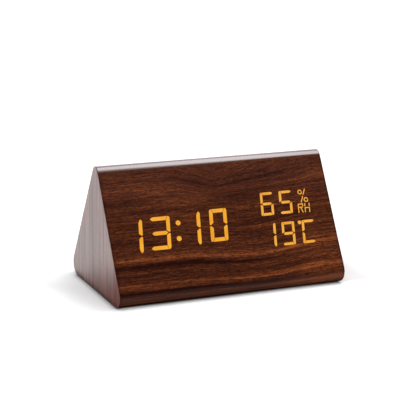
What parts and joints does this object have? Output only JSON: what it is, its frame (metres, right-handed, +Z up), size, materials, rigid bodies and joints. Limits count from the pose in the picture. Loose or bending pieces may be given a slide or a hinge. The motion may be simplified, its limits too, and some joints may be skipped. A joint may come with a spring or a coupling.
{
  "type": "digital alarm clock",
  "caption": "Three-sided walnut-veneer desk clock whose amber LED digits show time, humidity and temperature through the sloping front, with rear keys and a battery tray below.",
  "frame": {"origin": "middle of the footprint, on the underside of the rubber feet", "axes": "+X along the ridge towards the right-hand end seen from the front, +Y towards the rear face, +Z up"},
  "size_m": [0.15, 0.0846, 0.0781],
  "materials": {
    "fibreboard": "raw medium-density fibreboard",
    "walnut_face": "satin walnut veneer, grain along the body",
    "walnut_end": "satin walnut veneer, upright grain",
    "foot_rubber": "matte",
    "frosted_sheet": "frosted",
    "reflector_white": "moulded satin",
    "board_green": "solder mask",
    "led_package": "gloss",
    "bright_screw": "zinc plated",
    "black_screw": "black oxide",
    "amber_light": "lit amber",
    "chip_black": "matte",
    "can_steel": "drawn steel",
    "capacitor_sleeve": "heat-shrunk sleeve",
    "socket_ivory": "moulded",
    "ribbon_grey": "flexible jacket",
    "lead_red": "flexible jacket",
    "lead_black": "flexible jacket",
    "plate_black": "fine spark texture",
    "button_black": "satin",
    "switch_grey": "satin",
    "sensor_blue": "satin",
    "cell_wrap": "printed wrap, plain",
    "contact_nickel": "nickel plated"
  },
  "bodies": {
    "body": {"front_panel": "fibreboard", "rear_panel": "fibreboard", "base_panel": "fibreboard", "left_end_panel": "fibreboard", "right_end_panel": "fibreboard", "walnut_wrap": "walnut_face", "left_end_veneer": "walnut_end", "right_end_veneer": "walnut_end", "rubber_feet": "foot_rubber", "display_diffuser": "frosted_sheet", "display_reflector": "reflector_white", "led_board": "board_green", "led_chips": "led_package", "board_screws": "bright_screw", "time_segments": "amber_light", "humidity_segments": "amber_light", "temperature_segments": "amber_light", "microcontroller": "chip_black", "led_drivers": "chip_black", "crystal": "can_steel", "capacitors": "capacitor_sleeve", "buzzer": "chip_black", "battery_socket": "socket_ivory", "ribbon_sockets": "socket_ivory", "ribbon_cable": "ribbon_grey", "positive_lead": "lead_red", "negative_lead": "lead_black", "control_plate": "plate_black", "control_plate_screws": "black_screw", "switch_housings": "chip_black", "button_board": "board_green", "button_board_screws": "bright_screw", "usb_shell": "can_steel", "usb_tongue": "chip_black", "climate_sensor": "sensor_blue", "battery_box": "plate_black", "battery_box_screws": "black_screw", "battery_cells": "cell_wrap", "battery_contacts": "contact_nickel"},
    "set_key": {"set_button": "button_black", "set_plunger": "switch_grey"},
    "down_key": {"down_button": "button_black", "down_plunger": "switch_grey"},
    "up_key": {"up_button": "button_black", "up_plunger": "switch_grey"},
    "battery_door": {"battery_door": "plate_black"}
  },
  "joints": [
    {"name": "set_press", "type": "slide", "parent": "body", "child": "set_key", "axis": [0, -0.866, -0.5], "range_m": [0, 0.0006], "stiffness_N_per_m": 400, "springref_m": -0.0005},
    {"name": "down_press", "type": "slide", "parent": "body", "child": "down_key", "axis": [0, -0.866, -0.5], "range_m": [0, 0.0006], "stiffness_N_per_m": 400, "springref_m": -0.0005},
    {"name": "up_press", "type": "slide", "parent": "body", "child": "up_key", "axis": [0, -0.866, -0.5], "range_m": [0, 0.0006], "stiffness_N_per_m": 400, "springref_m": -0.0005},
    {"name": "battery_door_hinge", "type": "hinge", "parent": "body", "child": "battery_door", "pos_m": [-0.02435, 0, 0.0017], "axis": [0, 1, 0], "range_deg": [0, 85]}
  ]
}
